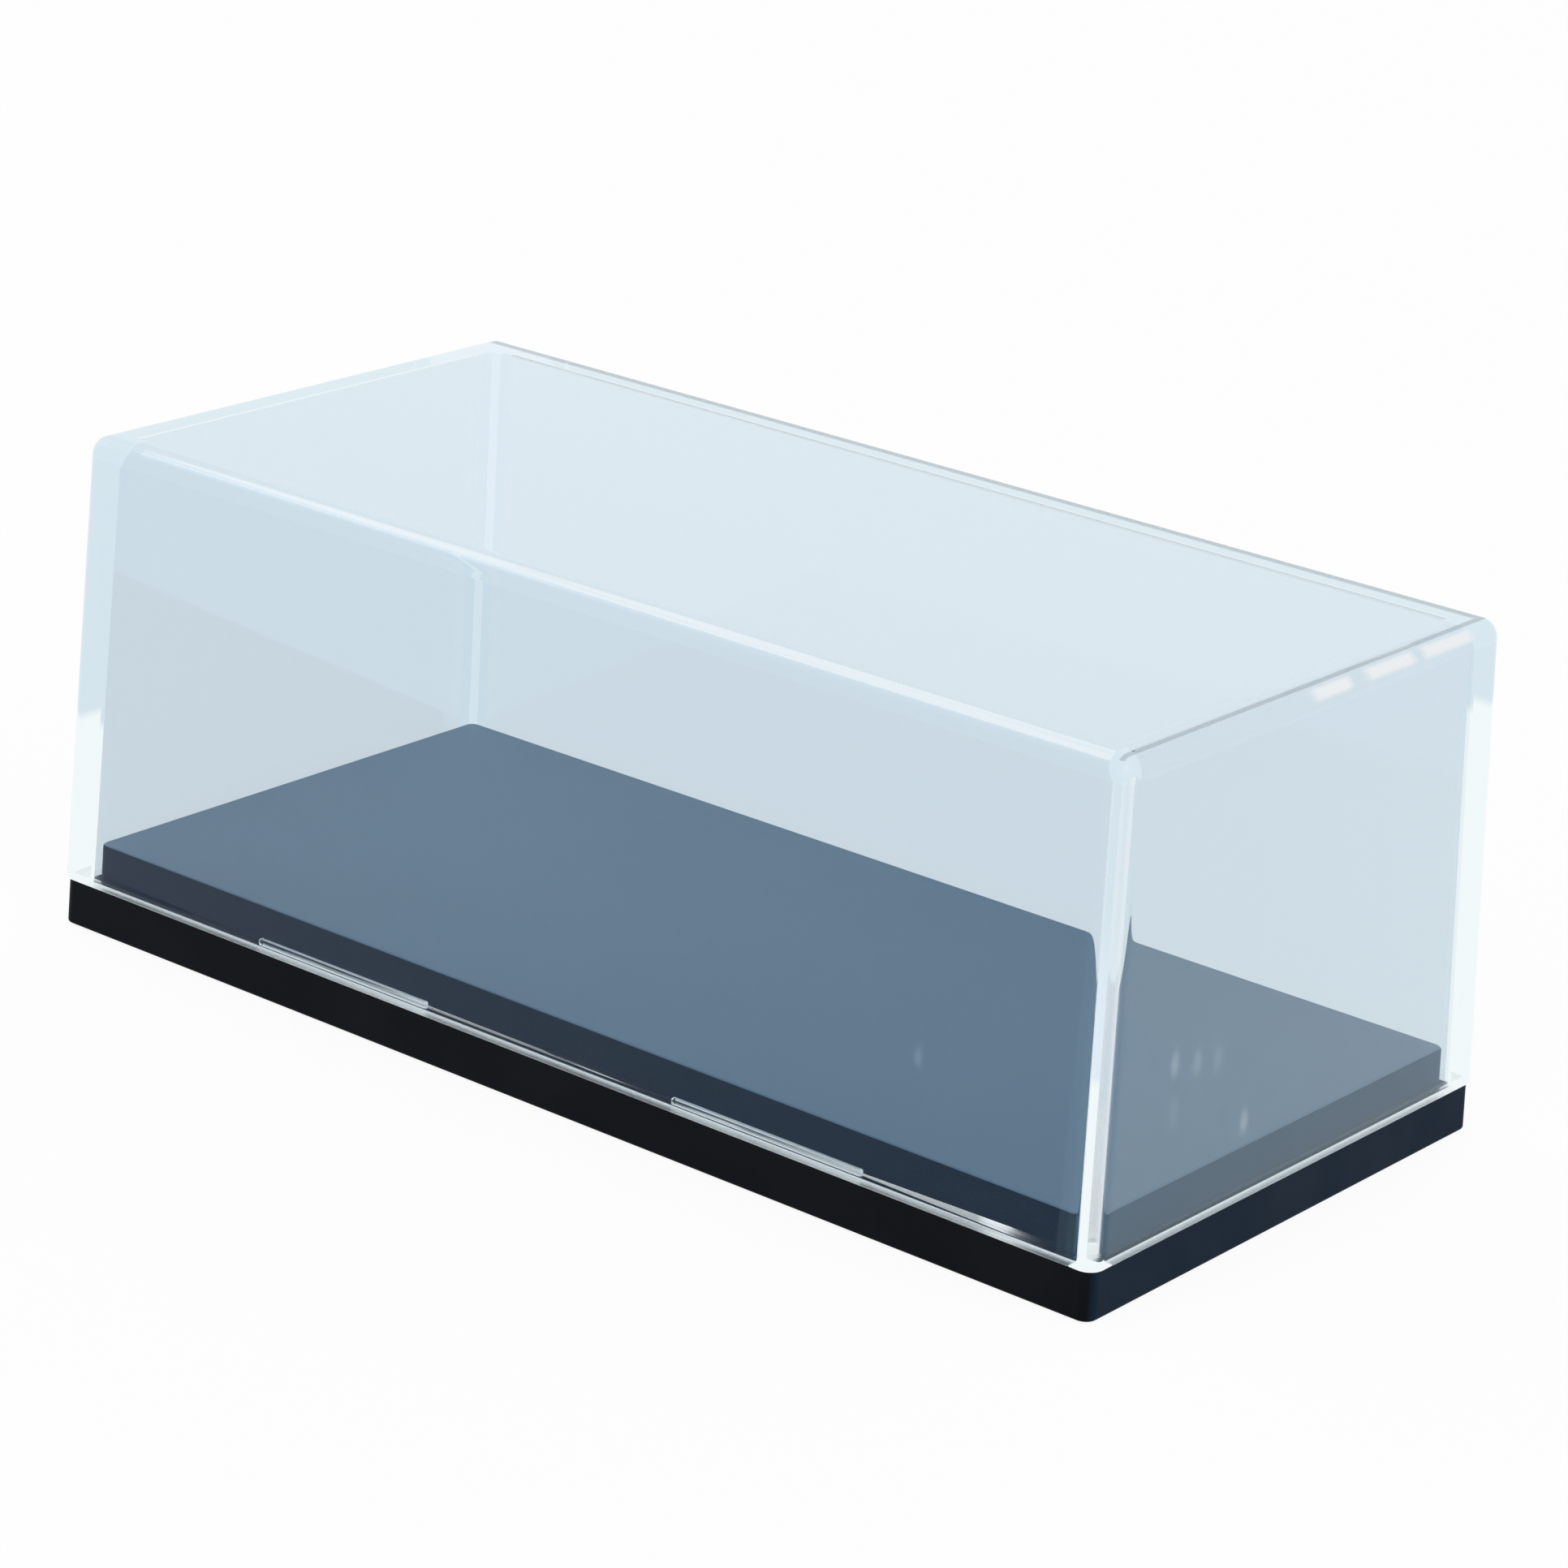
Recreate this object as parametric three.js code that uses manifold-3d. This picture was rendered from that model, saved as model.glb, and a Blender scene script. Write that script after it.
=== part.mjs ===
// Display case for a small model car: a clear moulded cover that stands on a stepped black base.
// Millimetres, +Z up. The origin is on the table, under the middle of the case.
// The length runs along X and the width along Y.

import * as THREE from 'three';
import * as BufferGeometryUtils from 'three/addons/utils/BufferGeometryUtils.js';
import Module from 'manifold-3d';

// Overall sizes, taken at the table for the base and at the foot for the cover
const baseLength = 150;
const baseWidth = 72;
const caseHeight = 59.7;

// Cover moulding
const coverOverhang = 0.4;
const coverWall = 3.2;
const coverRoof = 2.4;
const coverDraftDegrees = 1.9;
const coverCornerRadius = 1.9;
const coverEdgeRadius = 2.3;
const innerCornerReach = 2;
const innerEdgeReach = 1.6;
const leastCornerRadius = 0.1;
const footOuterRound = 0.2;
const footLeadIn = 0.4;
const leadInShare = 0.5;

// Grip lugs inside the cover's foot, two on each long side
const lugLength = 26;
const lugHeight = 0.75;
const lugDepth = 0.5;
const lugRound = 0.15;
const lugPitch = 62;
const lugFootGap = 0.1;
const lugClearance = 0.2;

// Base moulding
const rimHeight = 5.6;
const rimCornerRadius = 1.5;
const rimEdgeRound = 0.3;
const platformRise = 4.6;
const platformCornerRadius = 1.2;
const platformEdgeRound = 0.4;
const baseDraftDegrees = 1.5;
const baseWall = 1.8;
const platformFloor = 2;

// Ribs and ejector bosses under the platform
const ribRoot = 1.4;
const ribTip = 1;
const ribDepth = 3;
const crossRibCount = 5;
const longRibCount = 2;
const bossRadius = 2.6;
const bossTipRadius = 2.4;

// Overrun of a piece that is joined into a wall
const joinOverrun = 0.6;

// Corner shapes: power 2 is a circle, and a high power is a tight corner that blends softly into the walls
const roundPower = 2;
const tightPower = 6;

// Number of facets on each quarter round
const cornerSteps = 10;
const edgeSteps = 6;
const bossFacets = 28;
const creaseDegrees = 32;

// Values that follow from the sizes above
const coverDraft = THREE.MathUtils.degToRad(coverDraftDegrees);
const baseDraft = THREE.MathUtils.degToRad(baseDraftDegrees);
const platformTop = rimHeight + platformRise;
const trayCeiling = platformTop - platformFloor;
const quarterTurn = Math.PI / 2;

// Outer size of the rim where the cover stands on it
const rimLean = rimHeight * Math.tan(baseDraft);
const ledgeHalfLength = baseLength / 2 - rimLean;
const ledgeHalfWidth = baseWidth / 2 - rimLean;

// Outer size of the cover at its foot
const coverHalfLength = ledgeHalfLength + coverOverhang;
const coverHalfWidth = ledgeHalfWidth + coverOverhang;

// The platform leaves room for the cover's wall and its lugs
const platformInset = coverWall + lugDepth + lugClearance;
const platformHalfLength = coverHalfLength - platformInset;
const platformHalfWidth = coverHalfWidth - platformInset;

const wasm = await Module();
wasm.setup();

// The point of a quarter round of reach 1 at which the surface faces the given angle
function quarterRound(angle, power) {
  if (angle >= quarterTurn) return [0, 1];
  const slope = Math.tan(angle) ** (1 / (power - 1));
  const along = (1 + slope ** power) ** (-1 / power);
  return [along, slope * along];
}

// One level of a swept box: a rectangle with rounded corners, counter-clockwise seen from above
function levelRing({ halfLength, halfWidth, radius, power, z }) {
  const centreX = halfLength - radius;
  const centreY = halfWidth - radius;
  const corners = [[1, 1], [-1, 1], [-1, -1], [1, -1]];
  return corners.flatMap(([signX, signY], quarter) => {
    const points = [];
    for (let step = 0; step <= cornerSteps; step += 1) {
      const turned = quarter % 2 === 0 ? step : cornerSteps - step;
      const [along, across] = quarterRound((turned / cornerSteps) * quarterTurn, power);
      const x = signX * (centreX + radius * along);
      const y = signY * (centreY + radius * across);
      points.push(new THREE.Vector3(x, y, z));
    }
    return points;
  });
}

// A closed body through the levels in their order, with a flat at the first and at the last.
// Levels that climb make outer walls, and levels that go down make inner ones.
function sweepLevels(levels) {
  const rings = levels.map(levelRing);
  const ringSize = rings[0].length;
  const positions = rings.flat().flatMap((point) => point.toArray());
  const indices = [];
  for (let level = 0; level < rings.length - 1; level += 1) {
    for (let side = 0; side < ringSize; side += 1) {
      const next = (side + 1) % ringSize;
      const lowA = level * ringSize + side;
      const lowB = level * ringSize + next;
      const highA = lowA + ringSize;
      const highB = lowB + ringSize;
      indices.push(lowA, lowB, highB, lowA, highB, highA);
    }
  }
  const firstCentre = rings.length * ringSize;
  const lastCentre = firstCentre + 1;
  const lastRing = (rings.length - 1) * ringSize;
  positions.push(0, 0, levels[0].z, 0, 0, levels[levels.length - 1].z);
  for (let side = 0; side < ringSize; side += 1) {
    const next = (side + 1) % ringSize;
    indices.push(firstCentre, next, side);
    indices.push(lastCentre, lastRing + side, lastRing + next);
  }
  const geometry = new THREE.BufferGeometry();
  geometry.setAttribute('position', new THREE.Float32BufferAttribute(positions, 3));
  geometry.setIndex(indices);
  return geometry;
}

// A solid that can be joined and cut, from a closed geometry
function toSolid(geometry) {
  const bare = geometry.clone();
  bare.deleteAttribute('normal');
  bare.deleteAttribute('uv');
  const merged = BufferGeometryUtils.mergeVertices(bare);
  const vertProperties = new Float32Array(merged.attributes.position.array);
  const triVerts = new Uint32Array(merged.index.array);
  return new wasm.Manifold(new wasm.Mesh({ numProp: 3, vertProperties, triVerts }));
}

// The mesh of a finished solid
function toMesh(name, solid, material) {
  const { vertProperties, triVerts } = solid.getMesh();
  const geometry = new THREE.BufferGeometry();
  geometry.setAttribute('position', new THREE.Float32BufferAttribute(vertProperties, 3));
  geometry.setIndex(Array.from(triVerts));
  const crease = THREE.MathUtils.degToRad(creaseDegrees);
  const mesh = new THREE.Mesh(BufferGeometryUtils.toCreasedNormals(geometry, crease), material);
  mesh.name = name;
  return mesh;
}

// A drafted wall: its half length, half width and corner radius at a height above its foot
function wallLevel(wall, z) {
  const lean = (z - wall.footZ) * Math.tan(wall.draft);
  return {
    halfLength: wall.halfLength - lean,
    halfWidth: wall.halfWidth - lean,
    radius: wall.cornerRadius,
    power: wall.power,
    z,
  };
}

// Levels of the round between a drafted wall and the flat above it, from the wall to the flat.
// Where the round is larger than the wall's corner, the corner stays just off sharp.
function topRound(wall, flatZ, edgeReach) {
  const centreZ = flatZ - edgeReach;
  const atCentre = wallLevel(wall, centreZ);
  const [startAlong, startUp] = quarterRound(wall.draft, wall.power);
  const reach = edgeReach * (startAlong + startUp * Math.tan(wall.draft));
  const levels = [];
  for (let step = 0; step <= edgeSteps; step += 1) {
    const angle = wall.draft + (quarterTurn - wall.draft) * (step / edgeSteps);
    const [along, up] = quarterRound(angle, wall.power);
    const inward = reach - edgeReach * along;
    levels.push({
      ...atCentre,
      halfLength: atCentre.halfLength - inward,
      halfWidth: atCentre.halfWidth - inward,
      radius: Math.max(wall.cornerRadius - inward, leastCornerRadius),
      z: centreZ + edgeReach * up,
    });
  }
  return levels;
}

// Levels of the small round between a flat foot and the wall above it, from the foot to the wall
function footRound(wall, radius) {
  const levels = [];
  for (let step = 0; step <= edgeSteps; step += 1) {
    const angle = (step / edgeSteps) * quarterTurn;
    const z = wall.footZ + radius * (1 - Math.cos(angle));
    const inward = radius * (1 - Math.sin(angle));
    const onWall = wallLevel(wall, z);
    levels.push({
      ...onWall,
      halfLength: onWall.halfLength - inward,
      halfWidth: onWall.halfWidth - inward,
      radius: onWall.radius - inward,
    });
  }
  return levels;
}

// A lug: a rounded pad that grows out of the wall along +Z, its foot edge towards -Y
function lugGeometry() {
  const pad = {
    halfLength: lugLength / 2,
    halfWidth: lugHeight / 2,
    cornerRadius: lugRound + lugFootGap,
    power: roundPower,
    draft: 0,
    footZ: -joinOverrun,
  };
  return sweepLevels([wallLevel(pad, -joinOverrun), ...topRound(pad, lugDepth, lugRound)]);
}

// Clear cover: one wall swept up the inside, round the foot and up the outside
function coverSolid() {
  const outer = {
    halfLength: coverHalfLength,
    halfWidth: coverHalfWidth,
    cornerRadius: coverCornerRadius,
    power: roundPower,
    draft: coverDraft,
    footZ: rimHeight,
  };
  const inner = {
    halfLength: coverHalfLength - coverWall,
    halfWidth: coverHalfWidth - coverWall,
    cornerRadius: innerCornerReach,
    power: tightPower,
    draft: coverDraft,
    footZ: rimHeight,
  };
  const ceiling = topRound(inner, caseHeight - coverRoof, innerEdgeReach).reverse();
  const aboveLeadIn = wallLevel(inner, rimHeight + footLeadIn);
  const leadIn = footLeadIn * leadInShare;
  const leadInFoot = {
    ...wallLevel(inner, rimHeight),
    halfLength: inner.halfLength + leadIn,
    halfWidth: inner.halfWidth + leadIn,
    radius: innerCornerReach + leadIn,
  };
  const foot = footRound(outer, footOuterRound);
  const roof = topRound(outer, caseHeight, coverEdgeRadius);
  let cover = toSolid(sweepLevels([...ceiling, aboveLeadIn, leadInFoot, ...foot, ...roof]));

  const lug = lugGeometry();
  const lugZ = rimHeight + lugFootGap + lugHeight / 2;
  for (const side of [-1, 1]) {
    for (const end of [-1, 1]) {
      const placed = lug.clone();
      placed.rotateX(side * quarterTurn);
      placed.translate(end * lugPitch / 2, side * inner.halfWidth, lugZ);
      cover = cover.add(toSolid(placed));
    }
  }
  return cover;
}

// A rib under the platform: a drafted bar, thick where it meets the ceiling, along X
function ribGeometry(length) {
  const section = new THREE.Shape();
  section.moveTo(-ribTip / 2, -ribDepth);
  section.lineTo(ribTip / 2, -ribDepth);
  section.lineTo(ribRoot / 2, 0);
  section.lineTo(ribRoot / 2, joinOverrun);
  section.lineTo(-ribRoot / 2, joinOverrun);
  section.lineTo(-ribRoot / 2, 0);
  section.closePath();
  const rib = new THREE.ExtrudeGeometry(section, { depth: length, bevelEnabled: false });
  rib.translate(0, 0, -length / 2);
  rib.rotateX(quarterTurn);
  rib.rotateZ(quarterTurn);
  return rib;
}

// Places of evenly spaced ribs across a span, centred on zero
function evenPlaces(count, span) {
  return Array.from({ length: count }, (_, index) => span * ((index + 1) / (count + 1) - 1 / 2));
}

// Black base: rim, ledge and platform over a hollow tray with ribs
function baseSolid() {
  const rim = {
    halfLength: baseLength / 2,
    halfWidth: baseWidth / 2,
    cornerRadius: rimCornerRadius,
    power: roundPower,
    draft: baseDraft,
    footZ: 0,
  };
  const platform = {
    halfLength: platformHalfLength,
    halfWidth: platformHalfWidth,
    cornerRadius: platformCornerRadius,
    power: roundPower,
    draft: baseDraft,
    footZ: rimHeight,
  };
  const inset = (wall, depth) => ({
    ...wall,
    halfLength: wall.halfLength - depth,
    halfWidth: wall.halfWidth - depth,
  });
  const trayWall = inset(rim, baseWall);
  const wellWall = inset(platform, baseWall);
  const ledgeUnder = rimHeight - baseWall;
  const levels = [
    wallLevel(wellWall, trayCeiling),
    wallLevel(wellWall, ledgeUnder),
    wallLevel(trayWall, ledgeUnder),
    wallLevel(trayWall, 0),
    ...footRound(rim, rimEdgeRound),
    ...topRound(rim, rimHeight, rimEdgeRound),
    wallLevel(platform, rimHeight),
    ...topRound(platform, platformTop, platformEdgeRound),
  ];
  let base = toSolid(sweepLevels(levels));

  const wellLength = 2 * wallLevel(wellWall, trayCeiling).halfLength;
  const wellWidth = 2 * wallLevel(wellWall, trayCeiling).halfWidth;
  const crossPlaces = evenPlaces(crossRibCount, wellLength);
  const longPlaces = evenPlaces(longRibCount, wellWidth);
  for (const x of crossPlaces) {
    const rib = ribGeometry(wellWidth + 2 * joinOverrun);
    rib.rotateZ(quarterTurn);
    rib.translate(x, 0, trayCeiling);
    base = base.add(toSolid(rib));
  }
  for (const y of longPlaces) {
    const rib = ribGeometry(wellLength + 2 * joinOverrun);
    rib.translate(0, y, trayCeiling);
    base = base.add(toSolid(rib));
  }
  for (const x of crossPlaces) {
    for (const y of longPlaces) {
      const bossHeight = ribDepth + joinOverrun;
      const boss = new THREE.CylinderGeometry(bossRadius, bossTipRadius, bossHeight, bossFacets);
      boss.rotateX(quarterTurn);
      boss.translate(x, y, trayCeiling + joinOverrun - bossHeight / 2);
      base = base.add(toSolid(boss));
    }
  }
  return base;
}

const clearPlastic = new THREE.MeshStandardMaterial({
  color: 0xe4eef3,
  roughness: 0.05,
  metalness: 0,
  transparent: true,
  opacity: 0.3,
});
const blackPlastic = new THREE.MeshStandardMaterial({
  color: 0x14151a,
  roughness: 0.35,
  metalness: 0,
});

const displayCase = new THREE.Group();
displayCase.name = 'model_car_display_case';
displayCase.add(toMesh('display_base', baseSolid(), blackPlastic));
displayCase.add(toMesh('clear_cover', coverSolid(), clearPlastic));

export default displayCase;
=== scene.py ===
# %% [markdown]
# # A display case for a small model car
#
# The real object is two plastic mouldings. A clear cover, like a shoe box turned over, stands on a black base.
# The base has a low rim, a ledge for the cover's foot and a raised platform for the model car. This lesson makes
# the fine surface of both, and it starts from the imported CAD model, which gives the places and the sizes.

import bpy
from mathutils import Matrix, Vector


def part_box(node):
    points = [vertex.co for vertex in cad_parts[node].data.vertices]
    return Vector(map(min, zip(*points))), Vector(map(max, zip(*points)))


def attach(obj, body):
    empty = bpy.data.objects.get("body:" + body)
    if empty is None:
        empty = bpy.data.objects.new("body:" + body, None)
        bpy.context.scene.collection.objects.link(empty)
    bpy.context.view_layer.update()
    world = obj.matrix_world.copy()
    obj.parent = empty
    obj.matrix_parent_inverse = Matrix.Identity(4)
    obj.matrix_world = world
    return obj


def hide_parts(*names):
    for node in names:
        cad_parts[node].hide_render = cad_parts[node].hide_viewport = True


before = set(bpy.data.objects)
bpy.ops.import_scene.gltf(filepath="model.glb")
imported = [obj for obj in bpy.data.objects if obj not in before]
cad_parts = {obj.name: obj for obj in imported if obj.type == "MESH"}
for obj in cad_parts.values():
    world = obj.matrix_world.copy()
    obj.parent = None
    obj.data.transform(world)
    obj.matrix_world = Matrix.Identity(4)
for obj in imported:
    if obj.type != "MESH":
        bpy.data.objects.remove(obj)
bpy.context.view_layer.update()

# %% Blender's tools
import math

import bmesh
import bpy
from mathutils import Matrix, Vector

# %% [markdown]
# ## Sizes
#
# The cover has to stand on the ledge and the lugs have to clear the platform, so the heights and the overall
# lengths are read from the CAD model instead of being typed again. Only the sizes that a box can't tell, such as
# the wall and the radii, are written here. They are in metres, as everything in Blender is, and MM turns
# millimetres into metres.

# %% Sizes from the CAD model
MM = 0.001
cover_low, cover_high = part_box("clear_cover")
_, base_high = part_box("display_base")
ledge_height = cover_low.z
case_height = cover_high.z
platform_height = base_high.z
print("ledge, platform and roof in mm:", [round(z / MM, 2) for z in (ledge_height, platform_height, case_height)])

# %% Sizes of the two mouldings
WALL = 3.2 * MM
ROOF = 2.4 * MM
COVER_DRAFT = math.radians(1.9)
BASE_DRAFT = math.radians(1.5)
OUTER_CORNER = 1.9 * MM
OUTER_EDGE = 2.3 * MM
INNER_CORNER = 2.0 * MM
INNER_EDGE = 1.6 * MM
LEAST_CORNER = 0.1 * MM
LEAD_IN = 0.4 * MM
FOOT_ROUND = 0.2 * MM
SEAT_GAP = 0.02 * MM
LUG_LENGTH, LUG_HEIGHT, LUG_DEPTH = 26 * MM, 0.75 * MM, 0.5 * MM
LUG_PITCH, LUG_ROUND, LUG_FOOT_GAP, LUG_CLEARANCE = 62 * MM, 0.15 * MM, 0.1 * MM, 0.2 * MM
cover_half = Vector((cover_high.x, cover_high.y))
lug_room = WALL + LUG_DEPTH + LUG_CLEARANCE
platform_half = cover_half - Vector((lug_room, lug_room))
print("platform in mm:", [round(2 * side / MM, 2) for side in platform_half])

# %% [markdown]
# ## Drafted walls as swept rings
#
# Both mouldings are boxes whose walls lean in by a degree or two, so that they leave their moulds. The shape of
# such a wall at one height is a rectangle with rounded corners. Stacking many of these rings and joining each to
# the next makes the whole body, inside, foot and outside, as one closed surface. Bevelled boxes would come close,
# but they leave no say in where each facet lies.
#
# Clear plastic shows every fault in its normals, because light bends through it. So each round gets many facets,
# and a narrow strip of flat wall beside each round keeps the big flats truly flat when they are shaded smooth.

# %% Angles round a corner
CORNER_STEPS = 16
ROUND, TIGHT, TIGHT_CROWDING = 2, 6, 3
FLAT_STRIP = 0.12 * MM


def turns(power, steps, start=0.0):
    """Angles that the surface faces, from start to a quarter turn. A tight corner has them crowded at its ends."""
    crowding = 1 if power == ROUND else TIGHT_CROWDING
    quarter = math.pi / 2
    angles = []
    for step in range(steps + 1):
        share = step / steps
        side = min(share, 1 - share)
        near = (2 * side) ** crowding / 2
        angles.append(start + (quarter - start) * (near if share <= 0.5 else 1 - near))
    return angles


def corner_point(angle, power):
    """Where a corner of reach 1 faces the angle: a circle at power 2, and nearly square at power 6."""
    if angle >= math.pi / 2:
        return 0.0, 1.0
    slope = math.tan(angle) ** (1 / (power - 1))
    along = (1 + slope**power) ** (-1 / power)
    return along, slope * along


print("a tight corner faces 45 degrees at", [round(v, 3) for v in corner_point(math.pi / 4, TIGHT)], "of its reach")

# %% One ring
SIGNS = ((1, 1), (-1, 1), (-1, -1), (1, -1))


def ring(half_length, half_width, reach, z, power=ROUND):
    """A rectangle with rounded corners at height z, counter-clockwise seen from above."""
    quarter = [corner_point(angle, power) for angle in turns(power, CORNER_STEPS)]
    strip = FLAT_STRIP / reach
    points = []
    for number, (sign_x, sign_y) in enumerate(SIGNS):
        corner = [(1.0, -strip)] + quarter + [(-strip, 1.0)]
        for along, across in corner if number % 2 == 0 else reversed(corner):
            x = half_length + reach * (along - 1)
            y = half_width + reach * (across - 1)
            points.append((sign_x * x, sign_y * y, z))
    return points


print("one ring has", len(ring(1, 1, 0.1, 0)), "points")

# %% A drafted wall


def wall(half_length, half_width, reach, draft, foot_z, power=ROUND):
    """A drafted wall, described at its foot."""
    return dict(half_length=half_length, half_width=half_width, reach=reach, draft=draft, foot_z=foot_z, power=power)


def at_height(w, z, outward=0.0, reach=None):
    """The ring of a wall at a height, moved outward."""
    lean = (z - w["foot_z"]) * math.tan(w["draft"]) - outward
    own = w["reach"] if reach is None else reach
    return ring(w["half_length"] - lean, w["half_width"] - lean, max(own, LEAST_CORNER), z, w["power"])


full_lean = (case_height - ledge_height) * math.tan(COVER_DRAFT)
print("the cover's walls lean in by", round(full_lean / MM, 2), "mm from foot to roof")

# %% Its round edge and its foot
EDGE_STEPS = 12
FOOT_STEPS = 4


def top_round(w, flat_z, edge):
    """Rings of the round between a wall and the flat above it, from the wall to the flat."""
    centre_z = flat_z - edge
    first_along, first_up = corner_point(w["draft"], w["power"])
    rings = [at_height(w, centre_z + edge * first_up - FLAT_STRIP)]
    from_wall = edge * (first_along + first_up * math.tan(w["draft"]))
    for angle in turns(w["power"], EDGE_STEPS, w["draft"]):
        along, up = corner_point(angle, w["power"])
        inward = from_wall - edge * along
        lean = (edge * up) * math.tan(w["draft"])
        rings.append(at_height(w, centre_z + edge * up, lean - inward, w["reach"] - inward))
    rings.append(at_height(w, flat_z, edge * math.tan(w["draft"]) - from_wall - FLAT_STRIP, w["reach"] - from_wall))
    return rings


def foot_round(w, radius):
    """Rings of the small round under a wall, from the flat foot to the wall."""
    rings = [at_height(w, w["foot_z"], -radius - FLAT_STRIP, w["reach"] - radius)]
    for angle in turns(ROUND, FOOT_STEPS):
        along, up = corner_point(angle, ROUND)
        inward = radius * (1 - up)
        rings.append(at_height(w, w["foot_z"] + radius * (1 - along), -inward, w["reach"] - inward))
    return rings + [at_height(w, w["foot_z"] + radius + FLAT_STRIP)]


print("a round edge takes", EDGE_STEPS + 3, "rings")

# %% Join rings into a closed body


def new_piece(name, shape):
    """A new object in the scene, made from a finished bmesh."""
    mesh = bpy.data.meshes.new(name)
    shape.to_mesh(mesh)
    shape.free()
    piece = bpy.data.objects.new(name, mesh)
    bpy.context.scene.collection.objects.link(piece)
    return piece


def sweep(name, rings):
    """A closed object through the rings, with a flat at the first and at the last."""
    shape = bmesh.new()
    rows = [[shape.verts.new(point) for point in points] for points in rings]
    for low, high in zip(rows, rows[1:]):
        for here in range(len(low)):
            there = (here + 1) % len(low)
            shape.faces.new((low[here], low[there], high[there], high[here]))
    shape.faces.new(list(reversed(rows[0])))
    shape.faces.new(rows[-1])
    return new_piece(name, shape)


print("helpers for bodies: new_piece and sweep")

# %% [markdown]
# ## The clear cover
#
# The cover's wall goes up the inside, round the ceiling's edge, and back down the outside. Seen from outside, the
# upright corners look like bright strips about as wide as the wall is thick, because light is caught there. The
# strips have clean edges, which only a tight inner corner gives. A box with Bevel and Solidify modifiers would be
# quicker, but its inner corners would follow the outer ones. So the inner rings use a corner that is nearly square,
# with a soft start on each wall.

# %% Cover shell
cover_foot = ledge_height + SEAT_GAP
outside = wall(cover_half.x, cover_half.y, OUTER_CORNER, COVER_DRAFT, cover_foot)
inside = wall(cover_half.x - WALL, cover_half.y - WALL, INNER_CORNER, COVER_DRAFT, cover_foot, TIGHT)
ceiling = list(reversed(top_round(inside, case_height - ROOF, INNER_EDGE)))
lead_in = [
    at_height(inside, cover_foot + LUG_FOOT_GAP + LUG_HEIGHT + 2 * FLAT_STRIP),
    at_height(inside, cover_foot + LEAD_IN + FLAT_STRIP),
    at_height(inside, cover_foot + LEAD_IN),
    at_height(inside, cover_foot, LEAD_IN / 2, INNER_CORNER + LEAD_IN / 2),
]
skin = foot_round(outside, FOOT_ROUND) + top_round(outside, case_height, OUTER_EDGE)
cover = sweep("cover_shell", ceiling + lead_in + skin)
print("cover shell:", len(cover.data.polygons), "faces")

# %% [markdown]
# ## The grip lugs
#
# Four long pads at the foot of the cover, two on each long side, press on the platform's sides and hold the
# cover. They are all alike, so one pad is swept once and Geometry Nodes puts copies of it at the corners of a
# small grid. Each copy is tipped to grow out of its own wall. Four pads could be placed by hand too, but the grid's
# size is an input, so these follow when the wall or the pitch changes.

# %% Helpers for node trees


def add_node(tree, kind, inputs=(), **settings):
    """A node with its settings made and its inputs filled by values or by other nodes' outputs."""
    made = tree.nodes.new(kind)
    for key, value in settings.items():
        setattr(made, key, value)
    for key, value in dict(inputs).items():
        if isinstance(value, bpy.types.NodeSocket):
            tree.links.new(value, made.inputs[key])
        else:
            made.inputs[key].default_value = value
    return made


def maths(tree, operation, first, second=0.0, clamp=False):
    """The result of one sum on numbers."""
    return add_node(tree, "ShaderNodeMath", {0: first, 1: second}, operation=operation, use_clamp=clamp).outputs[0]


def new_tree(name, sockets):
    """An empty Geometry Nodes tree with a geometry input, named inputs and a geometry output."""
    tree = bpy.data.node_groups.new(name, "GeometryNodeTree")
    tree.interface.new_socket("Geometry", in_out="INPUT", socket_type="NodeSocketGeometry")
    for socket, kind in sockets.items():
        tree.interface.new_socket(socket, in_out="INPUT", socket_type=kind)
    tree.interface.new_socket("Geometry", in_out="OUTPUT", socket_type="NodeSocketGeometry")
    return tree, tree.nodes.new("NodeGroupInput").outputs


def end_tree(tree, geometry, material):
    """Realizes the copies, gives them their material and sends them out."""
    real = add_node(tree, "GeometryNodeRealizeInstances", {"Geometry": geometry}).outputs[0]
    dressed = add_node(tree, "GeometryNodeSetMaterial", {"Geometry": real, "Material": material}).outputs[0]
    add_node(tree, "NodeGroupOutput", {0: dressed})


def applied(piece):
    """The plain mesh that a piece has with its modifiers, which are then removed."""
    mesh = bpy.data.meshes.new_from_object(piece.evaluated_get(bpy.context.evaluated_depsgraph_get()))
    piece.modifiers.clear()
    return mesh


def grown(piece, tree, values):
    """The plain mesh that a tree makes from a piece. Each input is set by its socket's identifier."""
    modifier = piece.modifiers.new(tree.name, "NODES")
    modifier.node_group = tree
    for item in tree.interface.items_tree:
        if item.in_out == "INPUT" and item.name in values:
            modifier[item.identifier] = values[item.name]
    return applied(piece)


print("helpers for node trees: add_node, maths, new_tree, end_tree, applied and grown")

# %% Materials that the trees hand out
clear_plastic = bpy.data.materials.new("clear_plastic")
black_plastic = bpy.data.materials.new("black_plastic")
platform_satin_and_reflection = bpy.data.materials.new("platform_satin_and_reflection")
for finish in (clear_plastic, black_plastic, platform_satin_and_reflection):
    finish.use_nodes = True
print("finishes:", [finish.name for finish in (clear_plastic, black_plastic, platform_satin_and_reflection)])

# %% One lug, and the tree that places four
LUG_ROOT = 0.6 * MM
pad = wall(LUG_LENGTH / 2, LUG_HEIGHT / 2, LUG_ROUND + LUG_FOOT_GAP, 0.0, -LUG_ROOT)
lug = sweep("grip_lugs", [at_height(pad, -LUG_ROOT)] + top_round(pad, LUG_DEPTH, LUG_ROUND))

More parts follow.
